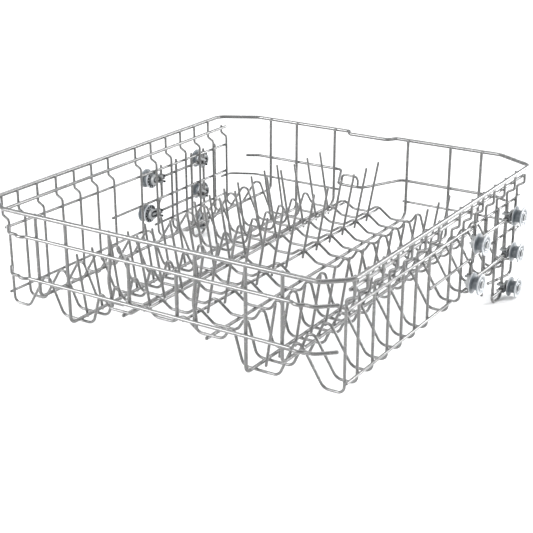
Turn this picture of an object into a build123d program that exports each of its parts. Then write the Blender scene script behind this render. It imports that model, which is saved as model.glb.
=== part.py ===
from build123d import *
from math import cos, hypot, pi
import os

# Upper wire basket of a dishwasher: +X right, +Y back, +Z up, millimetres.
# The origin is under the middle of the basket, at the height of its lowest wire.

# Wire thicknesses, coating included, and the gap that stands for the weld
RIM_D = 5.4
CROSS_D = 3.6
RAIL_D = 3.6
SHOULDER_D = 4.4
FRAME_D = 4.4
TINE_D = 3.4
CARRIER_D = 4.0
WELD_GAP = 0.05

# Rim loop: places and bends of the wire's centre line
RIM_HALF_WIDTH = 252.0
RIM_BACK = 268.5
RIM_FRONT = -266.0
RIM_Z = 174.0
RIM_FRONT_DIP = 4.0
BACK_CUT_X = 53.5
BACK_CUT_Y = 30.0
FRONT_CUT_X = 32.0
FRONT_CUT_Y = 16.0
RIM_BEND = 5.0
RIM_STEP_HALF = 31.0
RIM_STEP_SLANT = 8.0
RIM_STEP_DEPTH = 13.0

# Cross wires: a front group and a rear group, counted from the rim's front and back runs
FIRST_CROSS_INSET = 26.0
SECOND_CROSS_GAP = 28.4
CROSS_FRONT_PITCH = 35.1
CROSS_FRONT_COUNT = 6
LAST_CROSS_INSET = 31.5
CROSS_REAR_PITCH = 35.6
CROSS_REAR_COUNT = 7
STUB_RISE = 1.4

# Cross wire profile: outer parts measured from the wall, inner parts from the middle
WALL_INSET = 9.5
JOG_DROP = 24.0
JOG_RISE = 5.0
FLOOR_BEND = 5.0
DEEP_Z = 36.2
OUTER_TROUGH_W = 25.0
OUTER_FLANK_RUN = 28.0
OUTER_CREST_Z = 81.0
OUTER_CREST_W = 9.0
INNER_FLANK_RUN = 20.0
INNER_TROUGH_IN = 109.0
HOOP_Z = 77.0
HOOP_HALF = 94.0
HOOP_W = 6.0
MIDDLE_TROUGH_Z = 62.5
MIDDLE_TROUGH_OUT = 82.0
MIDDLE_TROUGH_IN = 50.0
RIDGE_Z = 76.5
RIDGE_HALF = 28.0
RIDGE_W = 6.0
CENTRE_Z = 67.5
CENTRE_TROUGH_OUT = 12.0

# Wires along the side walls and the floor
SHOULDER_DROP = 15.5
UPPER_RAIL_FRONT_DROP = 38.5
UPPER_RAIL_BACK_DROP = 43.0
MIDDLE_RAIL_Z = 89.0
LOWER_FRONT_RAIL_Z = 50.0
LOWER_REAR_RAIL_Z = 52.0
RAIL_OVERHANG = 4.0
FREE_END = 8.0

# Frame wires: front upright, floor runner and back upright
OUTER_FRAME_Z = 64.0
INNER_FRAME_HALF = 126.4
J_HALF = 60.3
FRAME_BEND = 8.0
BOWED_HALF = 60.2
BOW_DEPTH = 5.0
BOW_TOP_DROP = 9.5
BOW_FOOT_RISE = 3.0
BOWED_TAIL = 11.0
SHORT_UPRIGHT_HALF = 34.0
SHORT_UPRIGHT_TAIL = 4.5

# Rails of the front and back walls
FRONT_MIDDLE_RAIL_DROP = 29.5
FRONT_LOWER_RAIL_Z = 87.0
FRONT_RAIL_INSET = 38.0
FRONT_RAIL_CUT_X = 20.0
FRONT_RAIL_CUT_Y = 19.0
RAIL_JOG_FROM_END = 12.0
RAIL_JOG_W = 15.0
RAIL_JOG_SLANT = 4.0
RAIL_JOG_DEPTH = 3.5
BACK_UPPER_RAIL_Z = 113.5
BACK_LOWER_RAIL_Z = 82.0
BACK_RAIL_INSET = 55.0
BACK_RAIL_CUT_X = 18.0
BACK_RAIL_CUT_Y = 11.0
BACK_STEP_OUT = 50.0
BACK_STEP_IN = 19.0
BACK_STEP_DEPTH = 66.0
BACK_LOWER_FREE_END = 53.0
CORNER_LEAD = 10.0
CORNER_CUT_X = 35.0
CORNER_CUT_Y = 18.0
STEP_HOOP_HALF = 13.0
STEP_HOOP_RISE = 13.0
STEP_HOOP_BEND = 5.0

# Tines: feet beside the wire that carries them, tops leaning outwards
FRONT_TINE_SHIFT = 14.0
TINE_CLEAR = 0.4
INNER_TINE_RISE = 85.0
INNER_TINE_LEAN = 16.5
INNER_TINE_DROP = 6.5
OUTER_TINE_RISE = 75.2
OUTER_TINE_LEAN = 12.5
OUTER_TINE_DROP = 6.0

# Rollers, their pins and clips
ROLLER_UPPER_Z = 116.0
ROLLER_MIDDLE_Z = 65.5
ROLLER_LOWER_Z = 15.5
ROLLER_D = 27.0
ROLLER_OUTER_D = 27.5
BARREL_D = 17.0
INNER_FLANGE_W = 1.8
OUTER_FLANGE_W = 1.8
FLANGE_SLOPE = 1.6
ROLLER_W = 13.0
ROLLER_SIDES = 16
PIN_D = 6.0
PIN_SIDES = 8
PIN_CLEAR = 0.05
SIDE_CLEAR = 0.3
PIN_HEAD_D = 9.0
PIN_HEAD_W = 1.6
CLIP_T = 3.6
HUB_D = 16.0
HUB_SIDES = 12
BOSS_D = 10.0
BOSS_W = 1.9
HOOK_SHIFT = 10.0
HOOK_CLEAR = 0.1
HOOK_WALL = 1.6
PRONG_H = 3.0
PRONG_GAP = 6.0
PRONG_REACH = 5.5
BARB = 0.7
SOCKET_L = 6.0
SOCKET_FLOOR = 1.0
SOCKET_WALL = 1.2

# Roller carriers
UPRIGHT_FRONT_Y = 79.0
UPRIGHT_JOG = 8.0
UPRIGHT_JOG_TOP_Z = 88.0
UPRIGHT_JOG_DROP = 7.0
UPRIGHT_FRONT_BOTTOM_Z = 48.0
UPRIGHT_MIDDLE_Y = 115.5
UPRIGHT_MIDDLE_BOTTOM_Z = 26.0
HOOP_BACK_Y = 185.0
CARRIER_HOOP_W = 31.0
CARRIER_BEND = 6.0
LOWER_WIRE_LEAD = 12.0
TAIL_Y = 215.5
TAIL_Z = 25.0
TAIL_BEND = 9.0
TAIL_RUN = 52.5
TAIL_INSET = 4.5

# Places that follow from the sizes above: each wire lies against the one it is welded to
STUB_HALF = RIM_HALF_WIDTH - RIM_D / 2 - CROSS_D / 2 - WELD_GAP
WALL_HALF = STUB_HALF - WALL_INSET
SHOULDER_HALF = STUB_HALF - CROSS_D / 2 - SHOULDER_D / 2 - WELD_GAP
RAIL_HALF = WALL_HALF + CROSS_D / 2 + RAIL_D / 2 + WELD_GAP
UPRIGHT_HALF = RAIL_HALF + RAIL_D / 2 + CARRIER_D / 2 + WELD_GAP
CARRIER_HALF = UPRIGHT_HALF + CARRIER_D + WELD_GAP
FRONT_WALL = RIM_FRONT + RIM_D / 2 + FRAME_D / 2 + WELD_GAP
BACK_WALL = RIM_BACK - RIM_D / 2 - FRAME_D / 2 - WELD_GAP
FRONT_RAIL_Y = FRONT_WALL - FRAME_D - WELD_GAP
BACK_RAIL_Y = BACK_WALL + FRAME_D + WELD_GAP
BACK_LOWER_RAIL_Y = BACK_WALL + FRAME_D / 2 + RAIL_D / 2 + WELD_GAP
INNER_FRAME_Z = DEEP_Z + CROSS_D / 2 + FRAME_D / 2 + WELD_GAP
J_Z = MIDDLE_TROUGH_Z - CROSS_D / 2 - FRAME_D / 2 - WELD_GAP
RIDGE_WIRE_Z = RIDGE_Z - CROSS_D / 2 - RAIL_D / 2 - WELD_GAP
RIM_FRONT_Z = RIM_Z - RIM_FRONT_DIP
UPPER_RAIL_FRONT_Z = RIM_Z - UPPER_RAIL_FRONT_DROP
UPPER_RAIL_BACK_Z = RIM_Z - UPPER_RAIL_BACK_DROP
UPRIGHT_TOP_Z = UPPER_RAIL_FRONT_Z + RAIL_D / 2
FRONT_MIDDLE_RAIL_Z = RIM_FRONT_Z - FRONT_MIDDLE_RAIL_DROP
CROSS_FIRST = RIM_FRONT + FIRST_CROSS_INSET
CROSS_SECOND = CROSS_FIRST + SECOND_CROSS_GAP
CROSS_LAST = RIM_BACK - LAST_CROSS_INSET
CROSS_FRONT_Y = [CROSS_FIRST] + [CROSS_SECOND + CROSS_FRONT_PITCH * i for i in range(CROSS_FRONT_COUNT)]
CROSS_REAR_Y = [CROSS_LAST - CROSS_REAR_PITCH * i for i in reversed(range(CROSS_REAR_COUNT))]
RAIL_FRONT_Y = CROSS_FIRST - RAIL_OVERHANG
RAIL_BACK_Y = CROSS_LAST + RAIL_OVERHANG
OUTER_TROUGH_IN = WALL_HALF - OUTER_TROUGH_W
OUTER_CREST_OUT = OUTER_TROUGH_IN - OUTER_FLANK_RUN
OUTER_CREST_IN = OUTER_CREST_OUT - OUTER_CREST_W
INNER_TROUGH_OUT = OUTER_CREST_IN - INNER_FLANK_RUN
FLANK_RISE = OUTER_CREST_Z - DEEP_Z
FLANK_SEAT = CROSS_D / 2 + FRAME_D / 2 / cos(pi / 8) + WELD_GAP
OUTER_FRAME_HALF = (
    INNER_TROUGH_OUT
    + (OUTER_FRAME_Z - DEEP_Z) * INNER_FLANK_RUN / FLANK_RISE
    + FLANK_SEAT * hypot(INNER_FLANK_RUN, FLANK_RISE) / FLANK_RISE
)
CARRIER_HOOP_Z = CARRIER_D / 2
UPRIGHT_LOWER_Y = UPRIGHT_FRONT_Y - UPRIGHT_JOG
HOOP_FRONT_Y = HOOP_BACK_Y - CARRIER_HOOP_W
HOOK_BORE = CARRIER_D / 2 / cos(pi / 8) + HOOK_CLEAR
ARM_REACH = HOOK_BORE + HOOK_WALL
WIRE_REACH = ARM_REACH + SOCKET_FLOOR + WELD_GAP
PLATE_IN = UPRIGHT_HALF + CARRIER_D / 2 + WELD_GAP
WHEEL_IN = PLATE_IN + CLIP_T + BOSS_W + SIDE_CLEAR

os.makedirs("parts", exist_ok=True)


def bent_wire(points, diameter, across, sides=8):
    """A wire bent at each point of its centre line, a flat of its section facing the direction across."""
    points = [Vector(p) for p in points]
    with BuildPart() as wire:
        with BuildLine():
            Polyline(*points)
        with BuildSketch(Plane(points[0], x_dir=across, z_dir=points[1] - points[0])):
            RegularPolygon(diameter / 2, sides, major_radius=False, rotation=180 / sides)
        sweep(transition=Transition.RIGHT)
    return wire.part


def both_sides(part):
    """The wire and its mirror image on the other side of the basket."""
    with BuildPart() as pair:
        add(part)
        mirror(part, about=Plane.YZ)
    return pair


def across_basket(half_line):
    """The whole centre line, from the left end to the right end, of a wire drawn on the right."""
    return [(-x, y, z) for x, y, z in half_line] + [(x, y, z) for x, y, z in reversed(half_line)]


def write(builder, name):
    builder.part.label = name
    export_step(builder.part, f"parts/{name}.step")


# Rim: half of the loop, from the middle of the front to the middle of the back, and its mirror image.
# Each bend is a short run between two small turns.
rim_corners = [
    (0, RIM_FRONT, RIM_FRONT_Z),
    (RIM_HALF_WIDTH - FRONT_CUT_X, RIM_FRONT, RIM_FRONT_Z),
    (RIM_HALF_WIDTH, RIM_FRONT + FRONT_CUT_Y, RIM_Z),
    (RIM_HALF_WIDTH, RIM_BACK - BACK_CUT_Y, RIM_Z),
    (RIM_HALF_WIDTH - BACK_CUT_X, RIM_BACK, RIM_Z),
    (RIM_STEP_HALF + RIM_STEP_SLANT, RIM_BACK, RIM_Z),
    (RIM_STEP_HALF, RIM_BACK - RIM_STEP_DEPTH, RIM_Z),
    (0, RIM_BACK - RIM_STEP_DEPTH, RIM_Z),
]
rim_line = [Vector(rim_corners[0])]
for before, corner, after in zip(rim_corners, rim_corners[1:], rim_corners[2:]):
    corner = Vector(corner)
    rim_line.append(corner + (Vector(before) - corner).normalized() * RIM_BEND)
    rim_line.append(corner + (Vector(after) - corner).normalized() * RIM_BEND)
rim_line.append(Vector(rim_corners[-1]))
rim = both_sides(bent_wire(rim_line, RIM_D, (0, 0, 1), sides=12))
write(rim, "rim")

# Cross wires: down the wall, over the waves of the floor and up the other wall
cross_profile = [
    (STUB_HALF, 0, RIM_Z + STUB_RISE),
    (STUB_HALF, 0, RIM_Z - JOG_DROP),
    (WALL_HALF, 0, RIM_Z - JOG_DROP - JOG_RISE),
    (WALL_HALF, 0, DEEP_Z + FLOOR_BEND),
    (WALL_HALF - FLOOR_BEND, 0, DEEP_Z),
    (OUTER_TROUGH_IN, 0, DEEP_Z),
    (OUTER_CREST_OUT, 0, OUTER_CREST_Z),
    (OUTER_CREST_IN, 0, OUTER_CREST_Z),
    (INNER_TROUGH_OUT, 0, DEEP_Z),
    (INNER_TROUGH_IN, 0, DEEP_Z),
    (HOOP_HALF + HOOP_W / 2, 0, HOOP_Z),
    (HOOP_HALF - HOOP_W / 2, 0, HOOP_Z),
    (MIDDLE_TROUGH_OUT, 0, MIDDLE_TROUGH_Z),
    (MIDDLE_TROUGH_IN, 0, MIDDLE_TROUGH_Z),
    (RIDGE_HALF + RIDGE_W / 2, 0, RIDGE_Z),
    (RIDGE_HALF - RIDGE_W / 2, 0, RIDGE_Z),
    (CENTRE_TROUGH_OUT, 0, CENTRE_Z),
]
cross_wire = bent_wire(across_basket(cross_profile), CROSS_D, (1, 0, 0), sides=6)
# The last one stands where the rim turns in, and ends just above the shoulder wires
last_profile = [(STUB_HALF, 0, RIM_Z - SHOULDER_DROP + RAIL_OVERHANG)] + cross_profile[1:]
last_cross_wire = bent_wire(across_basket(last_profile), CROSS_D, (1, 0, 0), sides=6)
with BuildPart() as cross_wires:
    with Locations(*[(0, y, 0) for y in CROSS_FRONT_Y + CROSS_REAR_Y[:-1]]):
        add(cross_wire)
    with Locations((0, CROSS_LAST, 0)):
        add(last_cross_wire)
write(cross_wires, "cross_wires")


def long_wires(half, front, back, diameter=RAIL_D):
    """A pair of straight wires from front to back, each end given as its y and z."""
    return both_sides(bent_wire([(half, *front), (half, *back)], diameter, (1, 0, 0)))


shoulder_z = RIM_Z - SHOULDER_DROP
shoulder_back = CROSS_LAST + FREE_END
shoulder_wires = long_wires(SHOULDER_HALF, (RAIL_FRONT_Y, shoulder_z), (shoulder_back, shoulder_z), SHOULDER_D)
write(shoulder_wires, "shoulder_wires")
upper_rails = long_wires(RAIL_HALF, (RAIL_FRONT_Y, UPPER_RAIL_FRONT_Z), (RAIL_BACK_Y, UPPER_RAIL_BACK_Z))
write(upper_rails, "upper_side_rails")
middle_front = CROSS_FRONT_Y[-1] - RAIL_OVERHANG
middle_rails = long_wires(RAIL_HALF, (middle_front, MIDDLE_RAIL_Z), (RAIL_BACK_Y, MIDDLE_RAIL_Z))
write(middle_rails, "middle_side_rails")
front_end = CROSS_REAR_Y[0] + RAIL_OVERHANG
lower_front_rails = long_wires(RAIL_HALF, (RAIL_FRONT_Y, LOWER_FRONT_RAIL_Z), (front_end, LOWER_FRONT_RAIL_Z))
write(lower_front_rails, "lower_front_side_rails")
rear_start = CROSS_REAR_Y[1] - RAIL_OVERHANG
lower_rear_rails = long_wires(RAIL_HALF, (rear_start, LOWER_REAR_RAIL_Z), (RAIL_BACK_Y, LOWER_REAR_RAIL_Z))
write(lower_rear_rails, "lower_rear_side_rails")
ridge_wires = long_wires(RIDGE_HALF, (RAIL_FRONT_Y, RIDGE_WIRE_Z), (CROSS_LAST + FREE_END, RIDGE_WIRE_Z))
write(ridge_wires, "ridge_wires")


def frame_wires(half, floor_z):
    """A pair of U-shaped wires: front upright, runner along the floor, back upright."""
    line = [
        (half, FRONT_WALL, RIM_FRONT_Z + STUB_RISE),
        (half, FRONT_WALL, floor_z + FRAME_BEND),
        (half, FRONT_WALL + FRAME_BEND, floor_z),
        (half, BACK_WALL - FRAME_BEND, floor_z),
        (half, BACK_WALL, floor_z + FRAME_BEND),
        (half, BACK_WALL, RIM_Z + STUB_RISE),
    ]
    return both_sides(bent_wire(line, FRAME_D, (1, 0, 0)))


outer_frame_wires = frame_wires(OUTER_FRAME_HALF, OUTER_FRAME_Z)
write(outer_frame_wires, "outer_frame_wires")
inner_frame_wires = frame_wires(INNER_FRAME_HALF, INNER_FRAME_Z)
write(inner_frame_wires, "inner_frame_wires")

# J-shaped wires: back upright and a runner under the middle troughs, with a free front end
j_line = [
    (J_HALF, BACK_WALL, RIM_Z + STUB_RISE),
    (J_HALF, BACK_WALL, J_Z + FRAME_BEND),
    (J_HALF, BACK_WALL - FRAME_BEND, J_Z),
    (J_HALF, RAIL_FRONT_Y, J_Z),
]
j_wires = both_sides(bent_wire(j_line, FRAME_D, (1, 0, 0)))
write(j_wires, "j_wires")

# Front wall: uprights behind two rails, two of the uprights bowed forward between the rails
bow_top = FRONT_MIDDLE_RAIL_Z - BOW_TOP_DROP
bow_foot = FRONT_LOWER_RAIL_Z + BOW_FOOT_RISE
bowed_line = [
    (BOWED_HALF, FRONT_WALL, RIM_FRONT_Z + STUB_RISE),
    (BOWED_HALF, FRONT_WALL, bow_top),
    (BOWED_HALF, FRONT_WALL - BOW_DEPTH, (bow_top + bow_foot) / 2),
    (BOWED_HALF, FRONT_WALL, bow_foot),
    (BOWED_HALF, FRONT_WALL, FRONT_LOWER_RAIL_Z - BOWED_TAIL),
]
bowed_uprights = both_sides(bent_wire(bowed_line, FRAME_D, (1, 0, 0)))
write(bowed_uprights, "bowed_uprights")
short_line = [
    (SHORT_UPRIGHT_HALF, FRONT_WALL, FRONT_MIDDLE_RAIL_Z + SHORT_UPRIGHT_TAIL),
    (SHORT_UPRIGHT_HALF, FRONT_WALL, FRONT_LOWER_RAIL_Z - SHORT_UPRIGHT_TAIL),
]
short_uprights = both_sides(bent_wire(short_line, FRAME_D, (1, 0, 0)))
write(short_uprights, "short_uprights")


def front_rail(z):
    """A rail across the front wall: its ends turn back round the corners, with a small jog beside each."""
    flat = RIM_HALF_WIDTH - FRONT_RAIL_INSET
    jog = flat - RAIL_JOG_FROM_END
    jog_end = jog - RAIL_JOG_W
    half = [
        (flat + FRONT_RAIL_CUT_X, FRONT_RAIL_Y + FRONT_RAIL_CUT_Y, z),
        (flat, FRONT_RAIL_Y, z),
        (jog, FRONT_RAIL_Y, z),
        (jog - RAIL_JOG_SLANT, FRONT_RAIL_Y - RAIL_JOG_DEPTH, z),
        (jog_end + RAIL_JOG_SLANT, FRONT_RAIL_Y - RAIL_JOG_DEPTH, z),
        (jog_end, FRONT_RAIL_Y, z),
    ]
    with BuildPart() as rail:
        add(bent_wire(across_basket(half), FRAME_D, (0, 0, 1)))
    return rail


front_middle_rail = front_rail(FRONT_MIDDLE_RAIL_Z)
write(front_middle_rail, "front_middle_rail")
front_lower_rail = front_rail(FRONT_LOWER_RAIL_Z)
write(front_lower_rail, "front_lower_rail")

# Back wall: the upper rail steps forward round the middle and carries a small hoop there
step_y = BACK_RAIL_Y - BACK_STEP_DEPTH
back_flat = RIM_HALF_WIDTH - BACK_RAIL_INSET
back_upper_half = [
    (back_flat + BACK_RAIL_CUT_X, BACK_RAIL_Y - BACK_RAIL_CUT_Y, BACK_UPPER_RAIL_Z),
    (back_flat, BACK_RAIL_Y, BACK_UPPER_RAIL_Z),
    (BACK_STEP_OUT, BACK_RAIL_Y, BACK_UPPER_RAIL_Z),
    (BACK_STEP_IN, step_y, BACK_UPPER_RAIL_Z),
]
with BuildPart() as back_upper_rail:
    add(bent_wire(across_basket(back_upper_half), FRAME_D, (0, 0, 1)))
write(back_upper_rail, "back_upper_rail")

hoop_foot = BACK_UPPER_RAIL_Z + FRAME_D / 2 + WELD_GAP
step_hoop_half = [
    (STEP_HOOP_HALF, step_y, hoop_foot),
    (STEP_HOOP_HALF, step_y, hoop_foot + STEP_HOOP_RISE - STEP_HOOP_BEND),
    (STEP_HOOP_HALF - STEP_HOOP_BEND, step_y, hoop_foot + STEP_HOOP_RISE),
]
with BuildPart() as step_hoop:
    add(bent_wire(across_basket(step_hoop_half), RAIL_D, (1, 0, 0)))
write(step_hoop, "step_hoop")

corner_y = BACK_LOWER_RAIL_Y - CORNER_CUT_Y
back_lower_line = [
    (RAIL_HALF, CROSS_LAST - CORNER_LEAD, BACK_LOWER_RAIL_Z),
    (RAIL_HALF, corner_y, BACK_LOWER_RAIL_Z),
    (RAIL_HALF - CORNER_CUT_X, BACK_LOWER_RAIL_Y, BACK_LOWER_RAIL_Z),
    (BACK_LOWER_FREE_END, BACK_LOWER_RAIL_Y, BACK_LOWER_RAIL_Z),
]
back_lower_rails = both_sides(bent_wire(back_lower_line, RAIL_D, (0, 0, 1)))
write(back_lower_rails, "back_lower_rails")

# Tines: each foot lies against the outer side of its carrying wire, clear of the cross wires
rear_shift = CROSS_D / 2 / cos(pi / 6) + TINE_D / 2 + TINE_CLEAR
front_tine_y = [y + FRONT_TINE_SHIFT for y in CROSS_FRONT_Y]
rear_tine_y = [y - rear_shift for y in CROSS_REAR_Y]


def tine_row(wire_half, wire_d, wire_z, drop, rise, lean, places):
    """A row of tines on the right: each leans outwards past the carrying wire, from a foot just below it."""
    height = drop + rise
    length = hypot(lean, height)
    beside = wire_half + (wire_d / 2 + TINE_D / 2) / cos(pi / 6) * length / height + WELD_GAP
    foot = Vector(beside - lean * drop / height, 0, wire_z - drop)
    with BuildPart() as row:
        with BuildSketch(*[Plane(foot + Vector(0, y, 0), x_dir=(0, 1, 0), z_dir=(lean, 0, height)) for y in places]):
            RegularPolygon(TINE_D / 2, 6, major_radius=False, rotation=30)
        extrude(amount=length)
    return row


inner_tines = tine_row(RIDGE_HALF, RAIL_D, RIDGE_WIRE_Z, INNER_TINE_DROP, INNER_TINE_RISE, INNER_TINE_LEAN,
                       front_tine_y + rear_tine_y[:-1])
outer_tines = tine_row(INNER_FRAME_HALF, FRAME_D, INNER_FRAME_Z, OUTER_TINE_DROP, OUTER_TINE_RISE,
                       OUTER_TINE_LEAN, front_tine_y + rear_tine_y)
with BuildPart() as inner_tines_left:
    mirror(inner_tines.part, about=Plane.YZ)
with BuildPart() as outer_tines_left:
    mirror(outer_tines.part, about=Plane.YZ)
write(inner_tines, "inner_tines_right")
write(inner_tines_left, "inner_tines_left")
write(outer_tines, "outer_tines_right")
write(outer_tines_left, "outer_tines_left")

# Roller carriers: wires on the outside of the side rails, made on the right and mirrored to the left
carrier_lines = [
    [(CARRIER_HALF, front, z), (CARRIER_HALF, HOOP_BACK_Y - WIRE_REACH, z)]
    for front, z in (
        (UPRIGHT_FRONT_Y + WIRE_REACH, ROLLER_UPPER_Z),
        (UPRIGHT_LOWER_Y + WIRE_REACH, ROLLER_MIDDLE_Z),
        (HOOP_FRONT_Y - LOWER_WIRE_LEAD, ROLLER_LOWER_Z),
    )
]
# The front upright jogs forward under the middle rail
front_upright = [
    (UPRIGHT_HALF, UPRIGHT_FRONT_Y, UPRIGHT_TOP_Z),
    (UPRIGHT_HALF, UPRIGHT_FRONT_Y, UPRIGHT_JOG_TOP_Z),
    (UPRIGHT_HALF, UPRIGHT_LOWER_Y, UPRIGHT_JOG_TOP_Z - UPRIGHT_JOG_DROP),
    (UPRIGHT_HALF, UPRIGHT_LOWER_Y, UPRIGHT_FRONT_BOTTOM_Z),
]
middle_upright = [
    (UPRIGHT_HALF, UPRIGHT_MIDDLE_Y, UPRIGHT_TOP_Z),
    (UPRIGHT_HALF, UPRIGHT_MIDDLE_Y, UPRIGHT_MIDDLE_BOTTOM_Z),
]
carrier_hoop = [
    (UPRIGHT_HALF, HOOP_FRONT_Y, UPRIGHT_TOP_Z),
    (UPRIGHT_HALF, HOOP_FRONT_Y, CARRIER_HOOP_Z + CARRIER_BEND),
    (UPRIGHT_HALF, HOOP_FRONT_Y + CARRIER_BEND, CARRIER_HOOP_Z),
    (UPRIGHT_HALF, HOOP_BACK_Y - CARRIER_BEND, CARRIER_HOOP_Z),
    (UPRIGHT_HALF, HOOP_BACK_Y, CARRIER_HOOP_Z + CARRIER_BEND),
    (UPRIGHT_HALF, HOOP_BACK_Y, UPRIGHT_TOP_Z),
]
# The tail runs down behind the rollers, then forward and inward below the floor
tail_wire = [
    (UPRIGHT_HALF, TAIL_Y, UPRIGHT_TOP_Z),
    (UPRIGHT_HALF, TAIL_Y, TAIL_Z + TAIL_BEND),
    (UPRIGHT_HALF, TAIL_Y - TAIL_BEND, TAIL_Z),
    (WALL_HALF - TAIL_INSET, TAIL_Y - TAIL_RUN, TAIL_Z),
]


def carrier_node(lines, name):
    """The carrier wires of one kind, on the right and on the left."""
    wires = [bent_wire(line, CARRIER_D, (1, 0, 0)) for line in lines]
    with BuildPart() as right:
        add(wires)
    with BuildPart() as left:
        mirror(right.part, about=Plane.YZ)
    write(right, f"{name}_right")
    write(left, f"{name}_left")


carrier_node(carrier_lines, "carrier_wires")
carrier_node([front_upright, middle_upright], "carrier_uprights")
carrier_node([carrier_hoop], "carrier_hoop")
carrier_node([tail_wire], "carrier_tail")


def roller_clip(y, z, wire_y):
    """A moulded clip: hub, arm with barbed prongs round the wire at wire_y, socket, boss and headed pin."""
    end = CLIP_T + BOSS_W + ROLLER_W + 2 * SIDE_CLEAR
    out = 1 if wire_y > y else -1
    arm_end = wire_y + out * ARM_REACH
    barb_x = UPRIGHT_HALF - HOOK_BORE
    tip_x = UPRIGHT_HALF - PRONG_REACH
    prong = [
        (PLATE_IN, HOOK_BORE),
        (barb_x, HOOK_BORE),
        (barb_x - BARB, HOOK_BORE - BARB),
        (tip_x, HOOK_BORE + BARB),
        (tip_x, HOOK_BORE + HOOK_WALL),
        (PLATE_IN, HOOK_BORE + HOOK_WALL),
    ]
    pocket = CARRIER_D + 2 * HOOK_CLEAR
    socket = pocket + 2 * SOCKET_WALL
    with BuildPart() as clip:
        with BuildSketch(Plane((PLATE_IN, y, z), x_dir=(0, 1, 0), z_dir=(1, 0, 0))):
            RegularPolygon(HUB_D / 2, HUB_SIDES, major_radius=False)
            with Locations(((arm_end - y) / 2, 0)):
                Rectangle(abs(arm_end - y), PRONG_GAP + 2 * PRONG_H)
        extrude(amount=CLIP_T)
        for length, diameter, start in (
            (BOSS_W, BOSS_D, CLIP_T),
            (end - CLIP_T, PIN_D, CLIP_T),
            (PIN_HEAD_W, PIN_HEAD_D, end),
        ):
            with BuildSketch(Plane((PLATE_IN + start, y, z), x_dir=(0, 1, 0), z_dir=(1, 0, 0))):
                RegularPolygon(diameter / 2, PIN_SIDES)
            extrude(amount=length)
        levels = (PRONG_GAP / 2, -PRONG_GAP / 2 - PRONG_H)
        with BuildSketch(*[Plane.XY.offset(z + level) for level in levels]):
            for side in (1, -1):
                with BuildLine():
                    Polyline(*[(x, wire_y + side * reach) for x, reach in prong], close=True)
                make_face()
        extrude(amount=PRONG_H)
        with BuildSketch(Plane((CARRIER_HALF, arm_end, z), x_dir=(1, 0, 0), z_dir=(0, out, 0))):
            Rectangle(socket, socket)
        extrude(amount=SOCKET_L)
        with BuildSketch(Plane((CARRIER_HALF, arm_end, z), x_dir=(1, 0, 0), z_dir=(0, out, 0)).offset(SOCKET_FLOOR)):
            Rectangle(pocket, pocket)
        extrude(amount=SOCKET_L - SOCKET_FLOOR, mode=Mode.SUBTRACT)
    return clip.part


def flange(diameter, width):
    """One end of the spool: a flat disc whose inner side slopes down to the barrel."""
    with BuildPart() as disc:
        with BuildSketch(Plane.YZ):
            RegularPolygon(diameter / 2, ROLLER_SIDES)
        extrude(amount=width + FLANGE_SLOPE)
        inner_side = disc.faces().sort_by(Axis.X)[-1]
        depth = (diameter - BARREL_D) / 2 * cos(pi / ROLLER_SIDES)
        chamfer(inner_side.edges(), length=depth, length2=FLANGE_SLOPE, reference=inner_side)
    return disc.part


# Roller: a spool with a deep groove and a bore for its pin, drawn on the X axis
inner_flange = flange(ROLLER_D, INNER_FLANGE_W)
outer_flange = flange(ROLLER_OUTER_D, OUTER_FLANGE_W)
with BuildPart() as roller:
    with BuildSketch(Plane.YZ):
        RegularPolygon(BARREL_D / 2, ROLLER_SIDES)
    extrude(amount=ROLLER_W)
    add(inner_flange)
    mirror(outer_flange, about=Plane.YZ.offset(ROLLER_W / 2))
    with BuildSketch(Plane.YZ):
        RegularPolygon(PIN_D / 2 + PIN_CLEAR, PIN_SIDES, major_radius=False)
    extrude(amount=ROLLER_W, mode=Mode.SUBTRACT)

# Each roller sits beside the carrier wire that its clip holds
ROLLERS = [
    ("front_upper", UPRIGHT_FRONT_Y - HOOK_SHIFT, ROLLER_UPPER_Z, UPRIGHT_FRONT_Y),
    ("front_lower", UPRIGHT_LOWER_Y - HOOK_SHIFT, ROLLER_MIDDLE_Z, UPRIGHT_LOWER_Y),
    ("rear_upper", HOOP_BACK_Y + HOOK_SHIFT, ROLLER_UPPER_Z, HOOP_BACK_Y),
    ("rear_middle", HOOP_BACK_Y + HOOK_SHIFT, ROLLER_MIDDLE_Z, HOOP_BACK_Y),
    ("rear_lower", HOOP_BACK_Y + HOOK_SHIFT, ROLLER_LOWER_Z, HOOP_BACK_Y),
]
clips = [roller_clip(y, z, wire_y) for place, y, z, wire_y in ROLLERS]
with BuildPart() as clips_right:
    add(clips)
with BuildPart() as clips_left:
    mirror(clips_right.part, about=Plane.YZ)
write(clips_right, "roller_clips_right")
write(clips_left, "roller_clips_left")

for place, y, z, wire_y in ROLLERS:
    with BuildPart() as right_roller:
        with Locations((WHEEL_IN, y, z)):
            add(roller.part)
    with BuildPart() as left_roller:
        mirror(right_roller.part, about=Plane.YZ)
    write(right_roller, f"roller_{place}_right")
    write(left_roller, f"roller_{place}_left")
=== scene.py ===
"""Upper wire basket of a dishwasher: round bent wires, welds, spool rollers and their clips."""
from math import asin, ceil, cos, hypot, pi, radians, sin, tan

import bmesh
import bpy
from mathutils import Matrix, Quaternion, Vector


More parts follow.
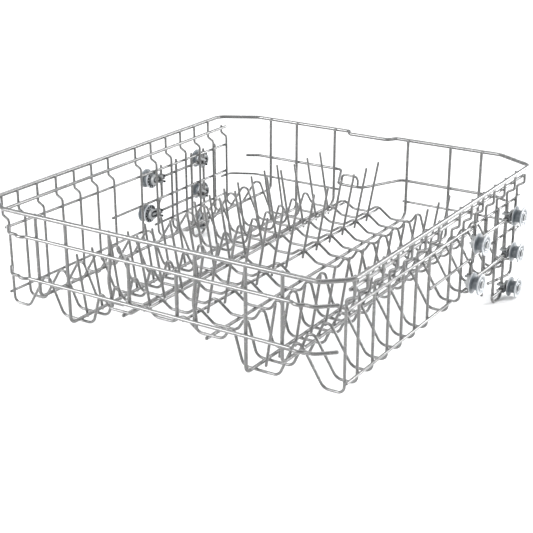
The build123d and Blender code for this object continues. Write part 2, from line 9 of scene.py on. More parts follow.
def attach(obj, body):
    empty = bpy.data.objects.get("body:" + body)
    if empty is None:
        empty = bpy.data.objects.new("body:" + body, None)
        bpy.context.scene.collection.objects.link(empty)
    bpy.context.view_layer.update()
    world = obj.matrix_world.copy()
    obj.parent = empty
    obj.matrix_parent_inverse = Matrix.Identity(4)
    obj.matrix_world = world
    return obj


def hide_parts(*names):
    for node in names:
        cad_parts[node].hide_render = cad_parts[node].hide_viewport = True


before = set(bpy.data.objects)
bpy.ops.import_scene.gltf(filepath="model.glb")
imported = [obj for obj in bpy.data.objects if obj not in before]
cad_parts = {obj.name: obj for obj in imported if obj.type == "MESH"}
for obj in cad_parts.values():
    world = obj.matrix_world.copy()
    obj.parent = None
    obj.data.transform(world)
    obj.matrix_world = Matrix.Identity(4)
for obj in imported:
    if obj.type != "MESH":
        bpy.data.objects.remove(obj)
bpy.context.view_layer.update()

# Sizes are in millimetres, as in the solids, and become metres where a piece is made
MM = 0.001
SIDES = (1, -1)
SIDE_WORDS = ("right", "left")

# Wire thicknesses, coating included, and the gap between welded wires
RIM_D = 5.4
CROSS_D = 3.6
RAIL_D = 3.6
SHOULDER_D = 4.4
FRAME_D = 4.4
TINE_D = 3.4
CARRIER_D = 4.0
WELD_GAP = 0.05

# Rim loop
RIM_HALF_WIDTH = 252.0
RIM_BACK = 268.5
RIM_FRONT = -266.0
RIM_Z = 174.0
RIM_FRONT_DIP = 4.0
FRONT_CUT_X = 32.0
FRONT_CUT_Y = 16.0
BACK_CUT_X = 53.5
BACK_CUT_Y = 30.0
RIM_STEP_HALF = 31.0
RIM_STEP_SLANT = 8.0
RIM_STEP_DEPTH = 13.0

# Cross wires: a front group and a rear group
FIRST_CROSS_INSET = 26.0
SECOND_CROSS_GAP = 28.4
CROSS_FRONT_PITCH = 35.1
CROSS_FRONT_COUNT = 6
LAST_CROSS_INSET = 31.5
CROSS_REAR_PITCH = 35.6
CROSS_REAR_COUNT = 7
STUB_RISE = 1.4

# Cross wire profile: outer parts measured from the wall, inner parts from the middle
WALL_INSET = 9.5
JOG_DROP = 24.0
JOG_RISE = 5.0
FLOOR_BEND = 5.0
DEEP_Z = 36.2
OUTER_TROUGH_W = 25.0
OUTER_FLANK_RUN = 28.0
OUTER_CREST_Z = 81.0
OUTER_CREST_W = 9.0
INNER_FLANK_RUN = 20.0
INNER_TROUGH_IN = 109.0
HOOP_Z = 77.0
HOOP_HALF = 94.0
HOOP_W = 6.0
MIDDLE_TROUGH_Z = 62.5
MIDDLE_TROUGH_OUT = 82.0
MIDDLE_TROUGH_IN = 50.0
RIDGE_Z = 76.5
RIDGE_HALF = 28.0
RIDGE_W = 6.0
CENTRE_Z = 67.5
CENTRE_TROUGH_OUT = 12.0

# Wires along the side walls and the floor
SHOULDER_DROP = 15.5
UPPER_RAIL_FRONT_DROP = 38.5
UPPER_RAIL_BACK_DROP = 43.0
MIDDLE_RAIL_Z = 89.0
LOWER_FRONT_RAIL_Z = 50.0
LOWER_REAR_RAIL_Z = 52.0
RAIL_OVERHANG = 4.0
FREE_END = 8.0

# Frame wires and the uprights of the front wall
OUTER_FRAME_Z = 64.0
INNER_FRAME_HALF = 126.4
J_HALF = 60.3
BOWED_HALF = 60.2
BOW_DEPTH = 5.0
BOW_TOP_DROP = 9.5
BOW_FOOT_RISE = 3.0
BOWED_TAIL = 11.0
SHORT_UPRIGHT_HALF = 34.0
SHORT_UPRIGHT_TAIL = 4.5

# Rails of the front and back walls
FRONT_MIDDLE_RAIL_DROP = 29.5
FRONT_LOWER_RAIL_Z = 87.0
FRONT_RAIL_INSET = 38.0
FRONT_RAIL_CUT_X = 20.0
FRONT_RAIL_CUT_Y = 19.0
RAIL_JOG_FROM_END = 12.0
RAIL_JOG_W = 15.0
RAIL_JOG_SLANT = 4.0
RAIL_JOG_DEPTH = 3.5
BACK_UPPER_RAIL_Z = 113.5
BACK_LOWER_RAIL_Z = 82.0
BACK_RAIL_INSET = 55.0
BACK_RAIL_CUT_X = 18.0
BACK_RAIL_CUT_Y = 11.0
BACK_STEP_OUT = 50.0
BACK_STEP_IN = 19.0
BACK_STEP_DEPTH = 66.0
BACK_LOWER_FREE_END = 53.0
CORNER_LEAD = 10.0
CORNER_CUT_X = 35.0
CORNER_CUT_Y = 18.0
STEP_HOOP_HALF = 13.0
STEP_HOOP_RISE = 13.0

# Tines
FRONT_TINE_SHIFT = 14.0
TINE_CLEAR = 0.4
INNER_TINE_RISE = 85.0
INNER_TINE_LEAN = 16.5
INNER_TINE_DROP = 6.5
OUTER_TINE_RISE = 75.2
OUTER_TINE_LEAN = 12.5
OUTER_TINE_DROP = 6.0

# Roller carriers
UPRIGHT_FRONT_Y = 79.0
UPRIGHT_JOG = 8.0
UPRIGHT_JOG_TOP_Z = 88.0
UPRIGHT_JOG_DROP = 7.0
UPRIGHT_FRONT_BOTTOM_Z = 48.0
UPRIGHT_MIDDLE_Y = 115.5
UPRIGHT_MIDDLE_BOTTOM_Z = 26.0
HOOP_BACK_Y = 185.0
CARRIER_HOOP_W = 31.0
LOWER_WIRE_LEAD = 12.0
TAIL_Y = 215.5
TAIL_Z = 25.0
TAIL_RUN = 52.5
TAIL_INSET = 4.5

# Rollers, their pins and clips
ROLLER_UPPER_Z = 116.0
ROLLER_MIDDLE_Z = 65.5
ROLLER_LOWER_Z = 15.5
ROLLER_W = 13.0
ROLLER_R = 13.5
ROLLER_OUTER_R = 13.75
BARREL_R = 8.5
PIN_R = 3.0
PIN_HEAD_W = 1.6
SIDE_CLEAR = 0.3
CLIP_T = 3.6
HUB_R = 8.0
BOSS_W = 1.9
HOOK_SHIFT = 10.0
HOOK_CLEAR = 0.1
HOOK_WALL = 1.6
ARM_HALF = 6.0
PRONG_H = 3.0
PRONG_REACH = 5.5
SOCKET_L = 6.0
SOCKET_FLOOR = 1.0
SOCKET_HALF = 3.3
SOCKET_WALL = 1.2

# Radii of the bends
RIM_BENDS = [17.0, 17.0, 17.0, 20.0, 5.0, 5.0]
JOG_BEND = 4.0
WAVE_BEND = 11.0
FRAME_BEND = 8.0
J_BEND = 13.0
BOW_BEND = 40.0
FRONT_RAIL_BEND = 12.0
BACK_RAIL_BEND = 13.0
STEP_HOOP_BEND = 7.0
CARRIER_BEND = 10.0
TAIL_BEND = 8.0

# Places that follow from the sizes above: each wire lies against the one it is welded to
STUB_HALF = RIM_HALF_WIDTH - RIM_D / 2 - CROSS_D / 2 - WELD_GAP
WALL_HALF = STUB_HALF - WALL_INSET
SHOULDER_HALF = STUB_HALF - CROSS_D / 2 - SHOULDER_D / 2 - WELD_GAP
RAIL_HALF = WALL_HALF + CROSS_D / 2 + RAIL_D / 2 + WELD_GAP
UPRIGHT_HALF = RAIL_HALF + RAIL_D / 2 + CARRIER_D / 2 + WELD_GAP
CARRIER_HALF = UPRIGHT_HALF + CARRIER_D + WELD_GAP
FRONT_WALL = RIM_FRONT + RIM_D / 2 + FRAME_D / 2 + WELD_GAP
BACK_WALL = RIM_BACK - RIM_D / 2 - FRAME_D / 2 - WELD_GAP
FRONT_RAIL_Y = FRONT_WALL - FRAME_D - WELD_GAP
BACK_RAIL_Y = BACK_WALL + FRAME_D + WELD_GAP
BACK_LOWER_RAIL_Y = BACK_WALL + FRAME_D / 2 + RAIL_D / 2 + WELD_GAP
INNER_FRAME_Z = DEEP_Z + CROSS_D / 2 + FRAME_D / 2 + WELD_GAP
J_Z = MIDDLE_TROUGH_Z - CROSS_D / 2 - FRAME_D / 2 - WELD_GAP
RIDGE_WIRE_Z = RIDGE_Z - CROSS_D / 2 - RAIL_D / 2 - WELD_GAP
RIM_FRONT_Z = RIM_Z - RIM_FRONT_DIP
SHOULDER_Z = RIM_Z - SHOULDER_DROP
UPPER_RAIL_FRONT_Z = RIM_Z - UPPER_RAIL_FRONT_DROP
UPPER_RAIL_BACK_Z = RIM_Z - UPPER_RAIL_BACK_DROP
FRONT_MIDDLE_RAIL_Z = RIM_FRONT_Z - FRONT_MIDDLE_RAIL_DROP
CROSS_FIRST = RIM_FRONT + FIRST_CROSS_INSET
CROSS_SECOND = CROSS_FIRST + SECOND_CROSS_GAP
CROSS_LAST = RIM_BACK - LAST_CROSS_INSET
CROSS_FRONT_Y = [CROSS_FIRST] + [CROSS_SECOND + CROSS_FRONT_PITCH * i for i in range(CROSS_FRONT_COUNT)]
CROSS_REAR_Y = [CROSS_LAST - CROSS_REAR_PITCH * i for i in reversed(range(CROSS_REAR_COUNT))]
RAIL_FRONT_Y = CROSS_FIRST - RAIL_OVERHANG
RAIL_BACK_Y = CROSS_LAST + RAIL_OVERHANG
OUTER_TROUGH_IN = WALL_HALF - OUTER_TROUGH_W
OUTER_CREST_OUT = OUTER_TROUGH_IN - OUTER_FLANK_RUN
OUTER_CREST_IN = OUTER_CREST_OUT - OUTER_CREST_W
INNER_TROUGH_OUT = OUTER_CREST_IN - INNER_FLANK_RUN
FLANK = Vector((INNER_FLANK_RUN, OUTER_CREST_Z - DEEP_Z))
FLANK_SEAT = CROSS_D / 2 + FRAME_D / 2 / cos(pi / 8) + WELD_GAP
FLANK_LIFT = OUTER_FRAME_Z - DEEP_Z
OUTER_FRAME_HALF = INNER_TROUGH_OUT + (FLANK_LIFT * FLANK.x + FLANK_SEAT * FLANK.length) / FLANK.y
UPRIGHT_TOP_Z = UPPER_RAIL_FRONT_Z + RAIL_D / 2
UPRIGHT_LOWER_Y = UPRIGHT_FRONT_Y - UPRIGHT_JOG
HOOP_FRONT_Y = HOOP_BACK_Y - CARRIER_HOOP_W
HOOK_BORE = CARRIER_D / 2 / cos(pi / 8) + HOOK_CLEAR
ARM_REACH = HOOK_BORE + HOOK_WALL
WIRE_REACH = ARM_REACH + SOCKET_FLOOR + WELD_GAP
PLATE_IN = UPRIGHT_HALF + CARRIER_D / 2 + WELD_GAP
WHEEL_IN = PLATE_IN + CLIP_T + BOSS_W + SIDE_CLEAR


# Materials: scales of the noises over a metre, relief in metres

COAT_CLOUDS = 55.0
COAT_SHEEN = 160.0
COAT_PEEL = 900.0
COAT_PEEL_STRENGTH = 0.12
PLASTIC_FLOW = 90.0
PLASTIC_SHEEN = 240.0
PLASTIC_GRAIN = 420.0
PLASTIC_GRAIN_STRENGTH = 0.15
FINE_DETAIL = 2.0
RELIEF = 0.0002
PAPER_CLOUDS = 6.0
NOISE_LOW = 0.3
NOISE_HIGH = 0.7


def new_material(name):
    """A material with its Principled shader and the object's own coordinates in metres."""
    material = bpy.data.materials.new(name)
    material.use_nodes = True
    nodes = material.node_tree.nodes
    shader = nodes["Principled BSDF"]
    place = nodes.new("ShaderNodeTexCoord").outputs["Object"]
    return material, shader, place


def noise(material, place, scale, detail=3.0):
    """The grey value of a noise over the surface."""
    node = material.node_tree.nodes.new("ShaderNodeTexNoise")
    node.inputs["Scale"].default_value = scale
    node.inputs["Detail"].default_value = detail
    material.node_tree.links.new(place, node.inputs["Vector"])
    return node.outputs["Fac"]


def ramp(material, value, low, high, target):
    """Two colours or greys spread over a noise and led to a socket."""
    node = material.node_tree.nodes.new("ShaderNodeValToRGB")
    stops = ((NOISE_LOW, low), (NOISE_HIGH, high))
    for element, (position, colour) in zip(node.color_ramp.elements, stops):
        element.position = position
        element.color = (*colour, 1.0) if isinstance(colour, tuple) else (colour, colour, colour, 1.0)
    material.node_tree.links.new(value, node.inputs["Fac"])
    material.node_tree.links.new(node.outputs["Color"], target)


def bump(material, value, shader, strength):
    """Fine relief from a value."""
    node = material.node_tree.nodes.new("ShaderNodeBump")
    node.inputs["Strength"].default_value = strength
    node.inputs["Distance"].default_value = RELIEF
    material.node_tree.links.new(value, node.inputs["Height"])
    material.node_tree.links.new(node.outputs["Normal"], shader.inputs["Normal"])


def coated_wire():
    """Grey nylon coating: cloudy tone, slight orange peel, a glossy skin."""
    material, shader, place = new_material("coated_wire")
    ramp(material, noise(material, place, COAT_CLOUDS), (0.08, 0.08, 0.0785), (0.105, 0.105, 0.103),
         shader.inputs["Base Color"])
    ramp(material, noise(material, place, COAT_SHEEN), 0.2, 0.3, shader.inputs["Roughness"])
    bump(material, noise(material, place, COAT_PEEL, FINE_DETAIL), shader, COAT_PEEL_STRENGTH)
    shader.inputs["Specular IOR Level"].default_value = 1.0
    shader.inputs["Coat Weight"].default_value = 0.65
    shader.inputs["Coat Roughness"].default_value = 0.14
    return material


def moulded(name, low, high, rough, coat=0.0):
    """Moulded plastic: even tone with faint flow marks and a fine grain."""
    material, shader, place = new_material(name)
    ramp(material, noise(material, place, PLASTIC_FLOW), low, high, shader.inputs["Base Color"])
    ramp(material, noise(material, place, PLASTIC_SHEEN), rough - 0.05, rough + 0.08,
         shader.inputs["Roughness"])
    bump(material, noise(material, place, PLASTIC_GRAIN, FINE_DETAIL), shader, PLASTIC_GRAIN_STRENGTH)
    shader.inputs["Coat Weight"].default_value = coat
    shader.inputs["Coat Roughness"].default_value = 0.12
    return material


WIRE = coated_wire()
DISC = moulded("roller_disc", (0.36, 0.375, 0.39), (0.43, 0.445, 0.46), 0.25, coat=0.4)
# Darker painted shade for the rollers' grooves, recesses and edge chamfers
DISC_SHADE = moulded("roller_disc_painted_shade", (0.21, 0.225, 0.24), (0.27, 0.285, 0.3), 0.3, coat=0.3)
FLANGE = moulded("roller_flange", (0.2, 0.222, 0.24), (0.27, 0.292, 0.31), 0.3, coat=0.4)
# The barrel's own dark tone, also painted into the outer disc's ring groove as shade
BARREL = moulded("roller_barrel_and_groove_shade", (0.1, 0.115, 0.128), (0.15, 0.17, 0.185), 0.34, coat=0.3)
CLIP = moulded("clip_plastic", (0.26, 0.27, 0.275), (0.33, 0.34, 0.345), 0.32, coat=0.3)
# Near-black painted shade for the insides of slots, gaps and the prongs round the wire
PAINTED_GAP_SHADE = moulded("painted_gap_shade", (0.012, 0.013, 0.014), (0.022, 0.023, 0.025), 0.5)
# The socket is coloured dark all over: painted shade for the shadowed hole the wire goes into
SOCKET_SHADE = moulded("clip_socket_shade", (0.06, 0.063, 0.067), (0.1, 0.104, 0.11), 0.4)
ROLLER_LOOKS = [DISC, BARREL, FLANGE, PAINTED_GAP_SHADE, DISC_SHADE]
CLIP_LOOKS = [CLIP, PAINTED_GAP_SHADE, SOCKET_SHADE]


# Wires

WIRES = []
STRAIGHT = 0.01
ARC_STEP = radians(11)
RUN_SHARE = 0.49
TIP_ANGLES = [radians(a) for a in (0, 25, 50, 70, 84)]


def rounded(line, radius, closed=False):
    """The line with every corner turned into an arc, as wide as its two runs allow."""
    points = [Vector(p) for p in line]
    count = len(points)
    result = []
    for i, corner in enumerate(points):
        if not closed and i in (0, count - 1):
            result.append(corner)
            continue
        back = points[i - 1] - corner
        ahead = points[(i + 1) % count] - corner
        turn = pi - back.angle(ahead)
        if turn < STRAIGHT:
            result.append(corner)
            continue
        bend = radius[i] if isinstance(radius, list) else radius
        run = min(bend * tan(turn / 2), RUN_SHARE * back.length, RUN_SHARE * ahead.length)
        arm_back = back.normalized()
        arm_ahead = ahead.normalized()
        centre = corner + (arm_back + arm_ahead).normalized() * run / sin(turn / 2)
        first = corner + arm_back * run - centre
        last = corner + arm_ahead * run - centre
        steps = max(2, ceil(turn / ARC_STEP))
        for s in range(steps + 1):
            share = s / steps
            blend = first * sin(turn * (1 - share)) + last * sin(turn * share)
            result.append(centre + blend / sin(turn))
    return result


def tip(end, inside, wire_radius):
    """Points and thickness of a rounded wire end, from the inside out."""
    out = (end - inside).normalized()
    return [(end - out * wire_radius * (1 - sin(a)), cos(a)) for a in TIP_ANGLES]


def wire(node, lines, diameter, radius=CARRIER_BEND, closed=False):
    """One node's wires as round bent wires on the same centre lines."""
    name = node + "_round"
    curve = bpy.data.curves.new(name, "CURVE")
    curve.dimensions = "3D"
    curve.bevel_depth = diameter / 2 * MM
    curve.bevel_resolution = 4
    curve.use_fill_caps = not closed
    for line in lines:
        path = rounded(line, radius, closed)
        if closed:
            points = [(p, 1.0) for p in path]
        else:
            start = tip(path[0], path[1], diameter / 2)
            end = tip(path[-1], path[-2], diameter / 2)
            points = start[::-1] + [(p, 1.0) for p in path[1:-1]] + end
        spline = curve.splines.new("POLY")
        spline.points.add(len(points) - 1)
        for target, (place, thickness) in zip(spline.points, points):
            target.co = (*(place * MM), 1.0)
            target.radius = thickness
        spline.use_cyclic_u = closed
        runs = [Vector(p) for p in line]
        if closed:
            runs.append(runs[0])
        WIRES.append((runs, diameter / 2))
    piece = bpy.data.objects.new(name, curve)
    bpy.context.collection.objects.link(piece)
    curve.materials.append(WIRE)
    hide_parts(node)
    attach(piece, "basket")


def mirrored(line):
    """The wire's mirror image on the other side of the basket."""
    return [(-x, y, z) for x, y, z in line]


def pair(line):
    """A wire and its mirror image."""
    return [line, mirrored(line)]


def across(half_line):
    """A wire across the basket, from the left end to the right end."""
    return mirrored(half_line) + half_line[::-1]


rim_half = [
    (RIM_HALF_WIDTH - FRONT_CUT_X, RIM_FRONT, RIM_FRONT_Z),
    (RIM_HALF_WIDTH, RIM_FRONT + FRONT_CUT_Y, RIM_Z),
    (RIM_HALF_WIDTH, RIM_BACK - BACK_CUT_Y, RIM_Z),
    (RIM_HALF_WIDTH - BACK_CUT_X, RIM_BACK, RIM_Z),
    (RIM_STEP_HALF + RIM_STEP_SLANT, RIM_BACK, RIM_Z),
    (RIM_STEP_HALF, RIM_BACK - RIM_STEP_DEPTH, RIM_Z),
]
wire("rim", [rim_half + mirrored(rim_half)[::-1]], RIM_D, radius=RIM_BENDS + RIM_BENDS[::-1], closed=True)

cross_profile = [
    (STUB_HALF, RIM_Z + STUB_RISE),
    (STUB_HALF, RIM_Z - JOG_DROP),
    (WALL_HALF, RIM_Z - JOG_DROP - JOG_RISE),
    (WALL_HALF, DEEP_Z + FLOOR_BEND),
    (WALL_HALF - FLOOR_BEND, DEEP_Z),
    (OUTER_TROUGH_IN, DEEP_Z),
    (OUTER_CREST_OUT, OUTER_CREST_Z),
    (OUTER_CREST_IN, OUTER_CREST_Z),
    (INNER_TROUGH_OUT, DEEP_Z),
    (INNER_TROUGH_IN, DEEP_Z),
    (HOOP_HALF + HOOP_W / 2, HOOP_Z),
    (HOOP_HALF - HOOP_W / 2, HOOP_Z),
    (MIDDLE_TROUGH_OUT, MIDDLE_TROUGH_Z),
    (MIDDLE_TROUGH_IN, MIDDLE_TROUGH_Z),
    (RIDGE_HALF + RIDGE_W / 2, RIDGE_Z),
    (RIDGE_HALF - RIDGE_W / 2, RIDGE_Z),
    (CENTRE_TROUGH_OUT, CENTRE_Z),
]
cross_bends = [JOG_BEND if i in (1, 2) else WAVE_BEND for i in range(len(cross_profile))]
cross_lines = []
for y in CROSS_FRONT_Y + CROSS_REAR_Y:
    half = [(x, y, z) for x, z in cross_profile]
    if y == CROSS_LAST:
        half[0] = (STUB_HALF, y, SHOULDER_Z + RAIL_OVERHANG)
    cross_lines.append(across(half))
wire("cross_wires", cross_lines, CROSS_D, radius=cross_bends + cross_bends[::-1])


def long_wires(node, half, front, back, diameter=RAIL_D):
    """A pair of straight wires from front to back."""
    wire(node, pair([(half, *front), (half, *back)]), diameter)


shoulder_back = CROSS_LAST + FREE_END
long_wires("shoulder_wires", SHOULDER_HALF, (RAIL_FRONT_Y, SHOULDER_Z), (shoulder_back, SHOULDER_Z),
           SHOULDER_D)
long_wires("upper_side_rails", RAIL_HALF, (RAIL_FRONT_Y, UPPER_RAIL_FRONT_Z),
           (RAIL_BACK_Y, UPPER_RAIL_BACK_Z))
long_wires("middle_side_rails", RAIL_HALF, (CROSS_FRONT_Y[-1] - RAIL_OVERHANG, MIDDLE_RAIL_Z),
           (RAIL_BACK_Y, MIDDLE_RAIL_Z))
long_wires("lower_front_side_rails", RAIL_HALF, (RAIL_FRONT_Y, LOWER_FRONT_RAIL_Z),
           (CROSS_REAR_Y[0] + RAIL_OVERHANG, LOWER_FRONT_RAIL_Z))
long_wires("lower_rear_side_rails", RAIL_HALF, (CROSS_REAR_Y[1] - RAIL_OVERHANG, LOWER_REAR_RAIL_Z),
           (RAIL_BACK_Y, LOWER_REAR_RAIL_Z))
long_wires("ridge_wires", RIDGE_HALF, (RAIL_FRONT_Y, RIDGE_WIRE_Z), (shoulder_back, RIDGE_WIRE_Z))


def frame_wires(node, half, floor_z):
    """A pair of U-shaped wires: front upright, runner and back upright."""
    wire(node, pair([
        (half, FRONT_WALL, RIM_FRONT_Z + STUB_RISE),
        (half, FRONT_WALL, floor_z),
        (half, BACK_WALL, floor_z),
        (half, BACK_WALL, RIM_Z + STUB_RISE),
    ]), FRAME_D, radius=FRAME_BEND)


frame_wires("outer_frame_wires", OUTER_FRAME_HALF, OUTER_FRAME_Z)
frame_wires("inner_frame_wires", INNER_FRAME_HALF, INNER_FRAME_Z)
wire("j_wires", pair([
    (J_HALF, BACK_WALL, RIM_Z + STUB_RISE),
    (J_HALF, BACK_WALL, J_Z),
    (J_HALF, RAIL_FRONT_Y, J_Z),
]), FRAME_D, radius=J_BEND)

bow_top = FRONT_MIDDLE_RAIL_Z - BOW_TOP_DROP
bow_foot = FRONT_LOWER_RAIL_Z + BOW_FOOT_RISE
wire("bowed_uprights", pair([
    (BOWED_HALF, FRONT_WALL, RIM_FRONT_Z + STUB_RISE),
    (BOWED_HALF, FRONT_WALL, bow_top),
    (BOWED_HALF, FRONT_WALL - BOW_DEPTH, (bow_top + bow_foot) / 2),
    (BOWED_HALF, FRONT_WALL, bow_foot),
    (BOWED_HALF, FRONT_WALL, FRONT_LOWER_RAIL_Z - BOWED_TAIL),
]), FRAME_D, radius=BOW_BEND)
wire("short_uprights", pair([
    (SHORT_UPRIGHT_HALF, FRONT_WALL, FRONT_MIDDLE_RAIL_Z + SHORT_UPRIGHT_TAIL),
    (SHORT_UPRIGHT_HALF, FRONT_WALL, FRONT_LOWER_RAIL_Z - SHORT_UPRIGHT_TAIL),
]), FRAME_D)


def front_rail(node, z):
    """A rail across the front wall, its ends turned back, with a small jog beside each."""
    flat = RIM_HALF_WIDTH - FRONT_RAIL_INSET
    jog = flat - RAIL_JOG_FROM_END
    jog_y = FRONT_RAIL_Y - RAIL_JOG_DEPTH
    wire(node, [across([
        (flat + FRONT_RAIL_CUT_X, FRONT_RAIL_Y + FRONT_RAIL_CUT_Y, z),
        (flat, FRONT_RAIL_Y, z),
        (jog, FRONT_RAIL_Y, z),
        (jog - RAIL_JOG_SLANT, jog_y, z),
        (jog - RAIL_JOG_W + RAIL_JOG_SLANT, jog_y, z),
        (jog - RAIL_JOG_W, FRONT_RAIL_Y, z),
    ])], FRAME_D, radius=FRONT_RAIL_BEND)


front_rail("front_middle_rail", FRONT_MIDDLE_RAIL_Z)
front_rail("front_lower_rail", FRONT_LOWER_RAIL_Z)

step_y = BACK_RAIL_Y - BACK_STEP_DEPTH
back_flat = RIM_HALF_WIDTH - BACK_RAIL_INSET
wire("back_upper_rail", [across([
    (back_flat + BACK_RAIL_CUT_X, BACK_RAIL_Y - BACK_RAIL_CUT_Y, BACK_UPPER_RAIL_Z),
    (back_flat, BACK_RAIL_Y, BACK_UPPER_RAIL_Z),
    (BACK_STEP_OUT, BACK_RAIL_Y, BACK_UPPER_RAIL_Z),
    (BACK_STEP_IN, step_y, BACK_UPPER_RAIL_Z),
])], FRAME_D, radius=BACK_RAIL_BEND)
hoop_foot = BACK_UPPER_RAIL_Z + FRAME_D / 2 + WELD_GAP
wire("step_hoop", [across([
    (STEP_HOOP_HALF, step_y, hoop_foot),
    (STEP_HOOP_HALF, step_y, hoop_foot + STEP_HOOP_RISE),
])], RAIL_D, radius=STEP_HOOP_BEND)
wire("back_lower_rails", pair([
    (RAIL_HALF, CROSS_LAST - CORNER_LEAD, BACK_LOWER_RAIL_Z),
    (RAIL_HALF, BACK_LOWER_RAIL_Y - CORNER_CUT_Y, BACK_LOWER_RAIL_Z),
    (RAIL_HALF - CORNER_CUT_X, BACK_LOWER_RAIL_Y, BACK_LOWER_RAIL_Z),
    (BACK_LOWER_FREE_END, BACK_LOWER_RAIL_Y, BACK_LOWER_RAIL_Z),
]), RAIL_D, radius=BACK_RAIL_BEND)

rear_shift = CROSS_D / 2 / cos(pi / 6) + TINE_D / 2 + TINE_CLEAR
front_tine_y = [y + FRONT_TINE_SHIFT for y in CROSS_FRONT_Y]
rear_tine_y = [y - rear_shift for y in CROSS_REAR_Y]


def tine_row(name, wire_half, wire_d, wire_z, drop, rise, lean, places):
    """A row of tines on each side, leaning outwards past their wire from feet just below it."""
    height = drop + rise
    beside = wire_half + (wire_d / 2 + TINE_D / 2) / cos(pi / 6) * hypot(lean, height) / height + WELD_GAP
    foot = beside - lean * drop / height
    foot_z = wire_z - drop
    tip_z = wire_z + rise
    for side, word in zip(SIDES, SIDE_WORDS):
        lines = [[(side * foot, y, foot_z), (side * (foot + lean), y, tip_z)] for y in places]
        wire(f"{name}_{word}", lines, TINE_D)


tine_row("inner_tines", RIDGE_HALF, RAIL_D, RIDGE_WIRE_Z, INNER_TINE_DROP, INNER_TINE_RISE, INNER_TINE_LEAN,
         front_tine_y + rear_tine_y[:-1])
tine_row("outer_tines", INNER_FRAME_HALF, FRAME_D, INNER_FRAME_Z, OUTER_TINE_DROP, OUTER_TINE_RISE,
         OUTER_TINE_LEAN, front_tine_y + rear_tine_y)

wire_back = HOOP_BACK_Y - WIRE_REACH
hoop_z = CARRIER_D / 2
carrier = {
    "carrier_wires": [
        [(CARRIER_HALF, wire_front, z), (CARRIER_HALF, wire_back, z)]
        for wire_front, z in (
            (UPRIGHT_FRONT_Y + WIRE_REACH, ROLLER_UPPER_Z),
            (UPRIGHT_LOWER_Y + WIRE_REACH, ROLLER_MIDDLE_Z),
            (HOOP_FRONT_Y - LOWER_WIRE_LEAD, ROLLER_LOWER_Z),
        )
    ],
    "carrier_uprights": [
        [
            (UPRIGHT_HALF, UPRIGHT_FRONT_Y, UPRIGHT_TOP_Z),
            (UPRIGHT_HALF, UPRIGHT_FRONT_Y, UPRIGHT_JOG_TOP_Z),
            (UPRIGHT_HALF, UPRIGHT_LOWER_Y, UPRIGHT_JOG_TOP_Z - UPRIGHT_JOG_DROP),
            (UPRIGHT_HALF, UPRIGHT_LOWER_Y, UPRIGHT_FRONT_BOTTOM_Z),
        ],
        [
            (UPRIGHT_HALF, UPRIGHT_MIDDLE_Y, UPRIGHT_TOP_Z),
            (UPRIGHT_HALF, UPRIGHT_MIDDLE_Y, UPRIGHT_MIDDLE_BOTTOM_Z),
        ],
    ],
    "carrier_hoop": [[
        (UPRIGHT_HALF, HOOP_FRONT_Y, UPRIGHT_TOP_Z),
        (UPRIGHT_HALF, HOOP_FRONT_Y, hoop_z),
        (UPRIGHT_HALF, HOOP_BACK_Y, hoop_z),
        (UPRIGHT_HALF, HOOP_BACK_Y, UPRIGHT_TOP_Z),
    ]],
    "carrier_tail": [[
        (UPRIGHT_HALF, TAIL_Y, UPRIGHT_TOP_Z),
        (UPRIGHT_HALF, TAIL_Y, TAIL_Z),
        (WALL_HALF - TAIL_INSET, TAIL_Y - TAIL_RUN, TAIL_Z),
    ]],
}
for node, lines in carrier.items():
    bend = TAIL_BEND if node == "carrier_tail" else CARRIER_BEND
    wire(f"{node}_right", lines, CARRIER_D, radius=bend)
    wire(f"{node}_left", [mirrored(line) for line in lines], CARRIER_D, radius=bend)


# Welds: a small bead wherever two wires lie against each other

WELD_REACH = 0.45
WELD_SEARCH = 0.5
WELD_APART = 12
BEAD_WIDTH = 0.92
BEAD_DEPTH = 0.7


def nearest(a0, a1, b0, b1):
    """The nearest points of two straight runs."""
    u = a1 - a0
    v = b1 - b0
    w = a0 - b0
    a = u.dot(u)
    b = u.dot(v)
    c = v.dot(v)
    d = u.dot(w)
    e = v.dot(w)
    det = a * c - b * b
    s = 0.0 if det < 1e-9 else min(1.0, max(0.0, (b * e - c * d) / det))
    t = min(1.0, max(0.0, (b * s + e) / c))
    s = min(1.0, max(0.0, (b * t - d) / a))
    return a0 + u * s, b0 + v * t


def weld_places():
    """Middle, direction and size of each weld between two different wires."""
    runs = []
    for index, (line, wire_radius) in enumerate(WIRES):
        for start, end in zip(line, line[1:]):
            low = [min(start[k], end[k]) - wire_radius - WELD_SEARCH for k in range(3)]
            high = [max(start[k], end[k]) + wire_radius + WELD_SEARCH for k in range(3)]
            runs.append((index, wire_radius, start, end, low, high))
    runs.sort(key=lambda r: r[4][1])
    places = []
    taken = set()
    for i, one in enumerate(runs):
        for two in runs[i + 1:]:
            if two[4][1] > one[5][1]:
                break
            if one[0] == two[0] or two[4][0] > one[5][0] or two[5][0] < one[4][0]:
                continue
            if two[4][2] > one[5][2] or two[5][2] < one[4][2]:
                continue
            p, q = nearest(one[2], one[3], two[2], two[3])
            if (q - p).length > one[1] + two[1] + WELD_REACH:
                continue
            middle = p + (q - p) * one[1] / (one[1] + two[1])
            wires = (min(one[0], two[0]), max(one[0], two[0]))
            key = (*wires, round(middle.y / WELD_APART), round(middle.z / WELD_APART))
            if key in taken:
                continue
            taken.add(key)
            places.append((middle, (q - p).normalized(), min(one[1], two[1])))
    return places


def mesh_piece(name, mesh_data, materials, body, node=None):
    """A mesh made into a piece that rides on a body."""
    mesh = bpy.data.meshes.new(name)
    mesh_data.to_mesh(mesh)
    mesh_data.free()
    for material in materials:
        mesh.materials.append(material)
    piece = bpy.data.objects.new(name, mesh)
    bpy.context.collection.objects.link(piece)
    if node:
        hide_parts(node)
    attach(piece, body)


